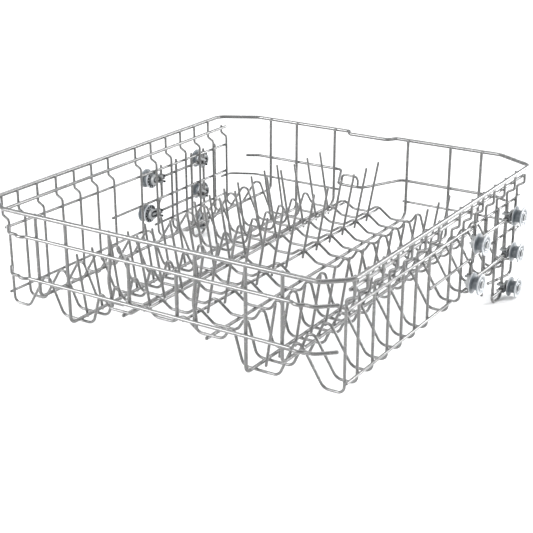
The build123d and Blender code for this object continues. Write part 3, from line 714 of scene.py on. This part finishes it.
beads = bmesh.new()
for middle, direction, size in weld_places():
    turn = direction.to_track_quat("Z", "Y").to_matrix().to_4x4()
    shape = Matrix.Diagonal((BEAD_WIDTH * size * MM, BEAD_WIDTH * size * MM, BEAD_DEPTH * size * MM, 1.0))
    place = Matrix.Translation(middle * MM) @ turn @ shape
    bmesh.ops.create_icosphere(beads, subdivisions=2, radius=1.0, matrix=place)
for face in beads.faces:
    face.smooth = True
mesh_piece("weld_beads", beads, [WIRE], "basket")


# Rollers, drawn with X along the pin, in millimetres from the roller's inner face

# Places of the looks in ROLLER_LOOKS and CLIP_LOOKS
LOOK_DISC_AND_PAINTED_LIGHT, LOOK_BARREL_AND_GROOVE_SHADE, LOOK_FLANGE, LOOK_SLOT_SHADE, LOOK_SHADE = range(5)
LOOK_CLIP, LOOK_GAP_SHADE, LOOK_SOCKET_SHADE = range(3)

SEGMENTS = 84
BORE_CLEAR = 0.06
SLOT_COUNT = 14
SLOT_PITCH = SEGMENTS // SLOT_COUNT
SLOT_FACES = 4
SLOT_EDGE = 0.12
SLOT_DEPTH = 0.7
GROOVE_COUNT = 4
GROOVE_FIRST = 3.9
GROOVE_PITCH = 1.35
GROOVE_DEPTH = 0.4
BARREL_FROM = 3.4
BARREL_TO = 9.6


def lathe(mesh, profile, look):
    """A closed ring of faces round the X axis; profile lists x and radius."""
    angles = [2 * pi * s / SEGMENTS for s in range(SEGMENTS)]
    rings = []
    for x, r in profile:
        rings.append([mesh.verts.new((x * MM, r * cos(a) * MM, r * sin(a) * MM)) for a in angles])
    faces = []
    for one, two in zip(rings, rings[1:] + rings[:1]):
        for s in range(SEGMENTS):
            t = (s + 1) % SEGMENTS
            face = mesh.faces.new((one[s], one[t], two[t], two[s]))
            face.material_index = look
            face.smooth = True
            faces.append(face)
    return faces


def paint(faces, bands, look):
    """Gives whole bands of a turned surface another look."""
    for band in bands:
        for face in faces[band * SEGMENTS:(band + 1) * SEGMENTS]:
            face.material_index = look


def roller_mesh():
    """The spool: a slotted inner flange, a grooved barrel and a dished outer disc."""
    mesh = bmesh.new()
    bore = PIN_R + BORE_CLEAR
    inner = [
        (0.0, bore), (0.0, 7.3), (0.5, 7.6), (0.5, 8.4), (0.1, 8.7), (0.1, 12.0), (0.0, 12.2), (0.0, 13.0),
        (0.35, ROLLER_R), (1.5, ROLLER_R), (1.85, 13.2), (2.3, 11.9), (2.9, 9.9),
        (BARREL_FROM, BARREL_R + 0.2), (BARREL_FROM, bore),
    ]
    faces = lathe(mesh, inner, LOOK_FLANGE)
    slot_band = 4
    # The bars between the slots and the flange rim take the lighter disc tone: painted light, on the rim as
    # light showing through its edge
    paint(faces, (slot_band, 7, 8), LOOK_DISC_AND_PAINTED_LIGHT)
    paint(faces, (2, 9), LOOK_SHADE)
    paint(faces, (10, 11, 12), LOOK_BARREL_AND_GROOVE_SHADE)
    band = faces[slot_band * SEGMENTS:(slot_band + 1) * SEGMENTS]
    # Each slot is sunk a little and coloured near black: painted shade for the dark inside of a through-slot
    for slot in range(SLOT_COUNT):
        region = [band[slot * SLOT_PITCH + k] for k in range(SLOT_FACES)]
        walls = bmesh.ops.inset_region(mesh, faces=region, thickness=SLOT_EDGE * MM, depth=-SLOT_DEPTH * MM,
                                       use_even_offset=True)
        for face in region + walls["faces"]:
            face.material_index = LOOK_SLOT_SHADE
    barrel = [(BARREL_FROM, bore), (BARREL_FROM, BARREL_R)]
    groove_r = BARREL_R - GROOVE_DEPTH
    for groove in range(GROOVE_COUNT):
        x = GROOVE_FIRST + groove * GROOVE_PITCH
        barrel += [(x, BARREL_R), (x + 0.2, groove_r), (x + 0.55, groove_r), (x + 0.75, BARREL_R)]
    barrel += [(BARREL_TO, BARREL_R), (BARREL_TO, bore)]
    lathe(mesh, barrel, LOOK_BARREL_AND_GROOVE_SHADE)
    outer = [
        (BARREL_TO, bore), (BARREL_TO, BARREL_R + 0.3), (10.1, 10.2), (10.7, 11.9), (11.1, 13.2),
        (11.4, ROLLER_OUTER_R),
        (12.4, ROLLER_OUTER_R), (12.8, 13.4), (ROLLER_W, 12.9), (ROLLER_W, 11.4), (12.5, 10.9), (12.4, 8.3),
        (11.7, 8.1), (11.7, 7.2), (12.7, 7.0), (ROLLER_W, 6.7), (ROLLER_W, 5.6), (12.5, 5.3), (12.5, bore),
    ]
    faces = lathe(mesh, outer, LOOK_DISC_AND_PAINTED_LIGHT)
    paint(faces, (1, 2, 3, 4, 5), LOOK_FLANGE)
    paint(faces, (6, 10, 16, 17), LOOK_SHADE)
    # The ring groove in the outer disc takes the dark barrel tone: painted shade
    paint(faces, (11, 12, 13), LOOK_BARREL_AND_GROOVE_SHADE)
    bmesh.ops.recalc_face_normals(mesh, faces=mesh.faces)
    return mesh


# Clips, drawn on the right in the basket's own places

CLIP_EDGE = 0.3
CLIP_BACK = 2.0
CLIP_RIM = 2.1
SLOT_FLOOR = 1.3
CLIP_SLOT_R = 4.8
CLIP_SLOT_HALF = 4.6
SLOT_FLOOR_R = 5.0
TONGUE_R = 2.0
TONGUE_T = 1.4
TONGUE_END = 0.6
NECK = 0.05
SKIN = 0.02
BOSS_R = 5.0
PIN_HEAD_R = 4.4
HEAD_SLOT_W = 0.9
HEAD_SLOT_L = 2.9
BARB = 0.7
CORNER_STEPS = 6
HUB_STEPS = 26
TURN_SEGMENTS = 36


def block(mesh, low, high, bevel, look):
    """A box with softened edges."""
    middle = [(a + b) / 2 * MM for a, b in zip(low, high)]
    size = [abs(b - a) * MM for a, b in zip(low, high)]
    matrix = Matrix.Translation(middle) @ Matrix.Diagonal((*size, 1.0))
    made = bmesh.ops.create_cube(mesh, size=1.0, matrix=matrix)
    edges = {e for v in made["verts"] for e in v.link_edges}
    result = bmesh.ops.bevel(mesh, geom=list(edges), offset=bevel * MM, segments=2, profile=0.6,
                             affect="EDGES")
    faces = {f for v in result["verts"] for f in v.link_faces}
    for face in faces:
        face.material_index = look


def plate(mesh, x0, x1, y0, y1, z0, z1, corner, edge, look):
    """An upright plate with rounded corners and a softened edge."""
    outline = []
    for cy, cz, first in ((y1 - corner, z1 - corner, 0), (y0 + corner, z1 - corner, 90),
                          (y0 + corner, z0 + corner, 180), (y1 - corner, z0 + corner, 270)):
        for step in range(CORNER_STEPS + 1):
            a = radians(first + step * 90 / CORNER_STEPS)
            outline.append((cy, cz, cos(a), sin(a)))
    rings = []
    for x, inset in ((x0, edge), (x0 + edge, 0.0), (x1 - edge, 0.0), (x1, edge)):
        reach = corner - inset
        rings.append([mesh.verts.new((x * MM, (cy + c * reach) * MM, (cz + s * reach) * MM))
                      for cy, cz, c, s in outline])
    made = [mesh.faces.new(rings[0][::-1]), mesh.faces.new(rings[-1])]
    count = len(outline)
    for one, two in zip(rings, rings[1:]):
        for s in range(count):
            t = (s + 1) % count
            made.append(mesh.faces.new((one[s], one[t], two[t], two[s])))
    for face in made:
        face.material_index = look


def solid_turn(mesh, profile, centre, look):
    """A turned solid along X; profile starts and ends on the axis."""
    angles = [2 * pi * s / TURN_SEGMENTS for s in range(TURN_SEGMENTS)]
    spokes = [(cos(a), sin(a)) for a in angles]
    rings = []
    for x, r in profile[1:-1]:
        rings.append([mesh.verts.new((x * MM, (centre[0] + r * c) * MM, (centre[1] + r * s) * MM))
                      for c, s in spokes])
    ends = [mesh.verts.new((x * MM, centre[0] * MM, centre[1] * MM)) for x, r in (profile[0], profile[-1])]
    made = []
    for s in range(TURN_SEGMENTS):
        t = (s + 1) % TURN_SEGMENTS
        made.append(mesh.faces.new((ends[0], rings[0][t], rings[0][s])))
        made.append(mesh.faces.new((ends[1], rings[-1][s], rings[-1][t])))
        for one, two in zip(rings, rings[1:]):
            made.append(mesh.faces.new((one[s], one[t], two[t], two[s])))
    for face in made:
        face.smooth = True
        face.material_index = look


def slab(mesh, x0, x1, outline, edge, look):
    """A flat piece across X from an outline of y and z, its outer edge softened on the inner face."""
    shapes = [(x0, -edge), (x0 + edge, 0.0), (x1, 0.0)] if edge else [(x0, 0.0), (x1, 0.0)]
    count = len(outline)
    area = sum(outline[i][0] * outline[(i + 1) % count][1] - outline[(i + 1) % count][0] * outline[i][1]
               for i in range(count))
    turn = 1.0 if area > 0 else -1.0
    normals = []
    for i in range(count):
        before = Vector(outline[i]) - Vector(outline[i - 1])
        after = Vector(outline[(i + 1) % count]) - Vector(outline[i])
        one = Vector((before.y, -before.x)).normalized() * turn
        two = Vector((after.y, -after.x)).normalized() * turn
        mid = one + two
        normals.append(mid / max(0.4, mid.length_squared / 2))
    rings = []
    for x, grow in shapes:
        rings.append([mesh.verts.new((x * MM, (p[0] + n.x * grow) * MM, (p[1] + n.y * grow) * MM))
                      for p, n in zip(outline, normals)])
    made = [mesh.faces.new(rings[0][::-1]), mesh.faces.new(rings[-1])]
    for one, two in zip(rings, rings[1:]):
        for s in range(count):
            t = (s + 1) % count
            made.append(mesh.faces.new((one[s], one[t], two[t], two[s])))
    for face in made:
        face.material_index = look


def keyhole(y, z, radius, half, arm_y, out):
    """Outline of a disc with an arm that ends at arm_y; out is the arm's direction along Y."""
    first = asin(half / radius)
    angles = [first + (2 * pi - 2 * first) * s / HUB_STEPS for s in range(HUB_STEPS + 1)]
    round_part = [(y + out * radius * cos(a), z + radius * sin(a)) for a in angles]
    return [(arm_y, z + half)] + round_part + [(arm_y, z - half)]


def clip(mesh, y, z, wire_y):
    """One moulded clip: hub and arm with a U-shaped slot, barbed prongs, wire socket, boss and headed pin."""
    out = 1 if wire_y > y else -1
    arm_y = wire_y + out * ARM_REACH
    face = PLATE_IN + CLIP_T
    end = face + BOSS_W + ROLLER_W + 2 * SIDE_CLEAR
    hub = keyhole(y, z, HUB_R, ARM_HALF, arm_y, out)
    slab(mesh, PLATE_IN + CLIP_BACK, face, hub, 0.0, LOOK_CLIP)
    # A near-black slab at the bottom of the U-shaped slot: painted shade
    slot_floor = keyhole(y, z, SLOT_FLOOR_R, SLOT_FLOOR_R - NECK, arm_y - out * CLIP_EDGE, out)
    slab(mesh, PLATE_IN + SLOT_FLOOR, PLATE_IN + CLIP_RIM, slot_floor, 0.0, LOOK_GAP_SHADE)
    outer = keyhole(y, z, HUB_R - SKIN, ARM_HALF - SKIN, arm_y - out * SKIN, out)
    inner = keyhole(y, z, CLIP_SLOT_R, CLIP_SLOT_HALF, arm_y - out * SKIN, out)
    slab(mesh, PLATE_IN, PLATE_IN + CLIP_RIM, outer + inner[::-1], CLIP_EDGE, LOOK_CLIP)
    tongue = keyhole(y, z, TONGUE_R, TONGUE_R - NECK, arm_y - out * TONGUE_END, out)
    slab(mesh, PLATE_IN, PLATE_IN + TONGUE_T, tongue, CLIP_EDGE, LOOK_CLIP)
    boss_end = face + BOSS_W
    head_end = end + PIN_HEAD_W
    pin_r = PIN_R - SKIN
    solid_turn(mesh, [
        (face - 0.1, 0), (face - 0.1, BOSS_R), (boss_end - 0.3, BOSS_R - 0.1), (boss_end, BOSS_R - 0.5),
        (boss_end, pin_r), (end, pin_r), (end, PIN_HEAD_R - 0.3), (end + 0.4, PIN_HEAD_R),
        (head_end - 0.4, PIN_HEAD_R - 0.2), (head_end - 0.1, PIN_HEAD_R - 0.7), (head_end - 0.1, 0),
    ], (y, z), LOOK_CLIP)
    # A thin near-black plate on the pin head stands for its slot: painted shade, no slot is cut
    plate(mesh, head_end - 0.5, head_end, y - HEAD_SLOT_W, y + HEAD_SLOT_W, z - HEAD_SLOT_L, z + HEAD_SLOT_L,
          HEAD_SLOT_W - NECK, SKIN, LOOK_GAP_SHADE)
    tip = UPRIGHT_HALF - PRONG_REACH
    barb = UPRIGHT_HALF - HOOK_BORE
    prong_out = HOOK_BORE + HOOK_WALL
    prong = [
        (PLATE_IN + 0.3, HOOK_BORE + NECK), (barb, HOOK_BORE + SKIN), (barb - BARB, HOOK_BORE - BARB + NECK),
        (barb - BARB - 0.4, HOOK_BORE - BARB + 0.1), (tip, HOOK_BORE + BARB), (tip + 0.2, prong_out - 0.3),
        (tip + 0.9, prong_out), (PLATE_IN + 0.3, prong_out),
    ]
    for lift in SIDES:
        low = z + lift * ARM_HALF
        high = z + lift * (ARM_HALF - PRONG_H)
        for sign in SIDES:
            outline = [(x, wire_y + sign * reach) for x, reach in prong]
            rings = [[mesh.verts.new((px * MM, py * MM, level * MM)) for px, py in outline]
                     for level in (low, high)]
            made = [mesh.faces.new(rings[0][::-1]), mesh.faces.new(rings[1])]
            for s in range(len(outline)):
                t = (s + 1) % len(outline)
                made.append(mesh.faces.new((rings[0][s], rings[0][t], rings[1][t], rings[1][s])))
            for one in made:
                one.material_index = LOOK_CLIP
            # The barbed inner faces of the prongs, round the wire, are near black: painted shade
            for one in made[3:6]:
                one.material_index = LOOK_GAP_SHADE
    root = arm_y - out * 0.1
    mouth = arm_y + out * SOCKET_L
    wall = SOCKET_HALF - SOCKET_WALL
    side_half = SOCKET_HALF - 0.2
    # The socket's four walls, in the dark painted-shade tone
    for lift in SIDES:
        block(mesh, (CARRIER_HALF - SOCKET_HALF, root, z + lift * wall),
              (CARRIER_HALF + SOCKET_HALF, mouth, z + lift * SOCKET_HALF), CLIP_EDGE, LOOK_SOCKET_SHADE)
        block(mesh, (CARRIER_HALF + lift * wall, root, z - side_half),
              (CARRIER_HALF + lift * SOCKET_HALF, mouth, z + side_half), CLIP_EDGE, LOOK_SOCKET_SHADE)


ROLLERS = {
    "front_upper": (UPRIGHT_FRONT_Y - HOOK_SHIFT, ROLLER_UPPER_Z, UPRIGHT_FRONT_Y),
    "front_lower": (UPRIGHT_LOWER_Y - HOOK_SHIFT, ROLLER_MIDDLE_Z, UPRIGHT_LOWER_Y),
    "rear_upper": (HOOP_BACK_Y + HOOK_SHIFT, ROLLER_UPPER_Z, HOOP_BACK_Y),
    "rear_middle": (HOOP_BACK_Y + HOOK_SHIFT, ROLLER_MIDDLE_Z, HOOP_BACK_Y),
    "rear_lower": (HOOP_BACK_Y + HOOK_SHIFT, ROLLER_LOWER_Z, HOOP_BACK_Y),
}
for side, word in zip(SIDES, SIDE_WORDS):
    flip = Matrix.Diagonal((side, 1.0, 1.0, 1.0))
    clips = bmesh.new()
    for place, (y, z, wire_y) in ROLLERS.items():
        clip(clips, y, z, wire_y)
        spool = roller_mesh()
        spool.transform(flip @ Matrix.Translation(Vector((WHEEL_IN, y, z)) * MM))
        bmesh.ops.recalc_face_normals(spool, faces=spool.faces)
        node = f"roller_{place}_{word}"
        mesh_piece(f"{node}_spool", spool, ROLLER_LOOKS, node, node)
    clips.transform(flip)
    bmesh.ops.recalc_face_normals(clips, faces=clips.faces)
    node = f"roller_clips_{word}"
    mesh_piece(f"{node}_moulded", clips, CLIP_LOOKS, "basket", node)


# Stage: pale floor, soft light and the camera, in metres

FLOOR_HALF = 9.0
SKY_COLOUR = (0.95, 0.97, 1.0, 1.0)
SKY_STRENGTH = 0.5
SUN_STRENGTH = 1.7
SUN_SPREAD = 50.0
SUN_TURN = (-28.0, -16.0, 0.0)
AIM = (0.0, 0.0, 0.1)
CAMERA_LENS = 80.25
CAMERA_SENSOR = 36.0
CAMERA_PLACE = (0.7779, -1.2421, 0.62)
CAMERA_TURN = (68.91, 0.0, 32.49)

floor_data = bmesh.new()
bmesh.ops.create_grid(floor_data, x_segments=1, y_segments=1, size=FLOOR_HALF)
floor_mesh = bpy.data.meshes.new("floor")
floor_data.to_mesh(floor_mesh)
floor_data.free()
floor = bpy.data.objects.new("floor", floor_mesh)
bpy.context.collection.objects.link(floor)
paper, paper_shader, paper_place = new_material("floor_paper")
ramp(paper, noise(paper, paper_place, PAPER_CLOUDS), 0.9, 0.92, paper_shader.inputs["Base Color"])
paper_shader.inputs["Roughness"].default_value = 0.8
paper_shader.inputs["Specular IOR Level"].default_value = 0.1
floor_mesh.materials.append(paper)

scene = bpy.context.scene
world = bpy.data.worlds.new("studio")
world.use_nodes = True
background = world.node_tree.nodes["Background"]
background.inputs["Color"].default_value = SKY_COLOUR
background.inputs["Strength"].default_value = SKY_STRENGTH
scene.world = world
scene.view_settings.view_transform = "Standard"


def soft_box(name, place, aim, width, height, roll, power):
    """A rectangular soft box that faces a point, rolled about its own axis."""
    data = bpy.data.lights.new(name, "AREA")
    data.shape = "RECTANGLE"
    data.size = width
    data.size_y = height
    data.energy = power
    lamp = bpy.data.objects.new(name, data)
    lamp.location = place
    facing = (Vector(aim) - Vector(place)).to_track_quat("-Z", "Y")
    lamp.rotation_euler = (facing @ Quaternion((0.0, 0.0, 1.0), radians(roll))).to_euler()
    bpy.context.collection.objects.link(lamp)


soft_box("front_left", (-1.85, -2.65, 1.35), AIM, width=1.6, height=1.6, roll=0.0, power=150.0)
soft_box("back_right", (2.1, 4.4, 1.7), AIM, width=1.2, height=2.6, roll=40.0, power=150.0)
soft_box("right", (1.6, 0.75, 0.75), (0.25, 0.05, 0.1), width=0.8, height=0.8, roll=0.0, power=36.0)
sun_data = bpy.data.lights.new("overhead", "SUN")
sun_data.energy = SUN_STRENGTH
sun_data.angle = radians(SUN_SPREAD)
sun = bpy.data.objects.new("overhead", sun_data)
sun.rotation_euler = [radians(a) for a in SUN_TURN]
bpy.context.collection.objects.link(sun)

camera_data = bpy.data.cameras.new("camera")
camera_data.lens = CAMERA_LENS
camera_data.sensor_width = CAMERA_SENSOR
camera = bpy.data.objects.new("camera", camera_data)
camera.location = CAMERA_PLACE
camera.rotation_euler = [radians(a) for a in CAMERA_TURN]
bpy.context.collection.objects.link(camera)
scene.camera = camera
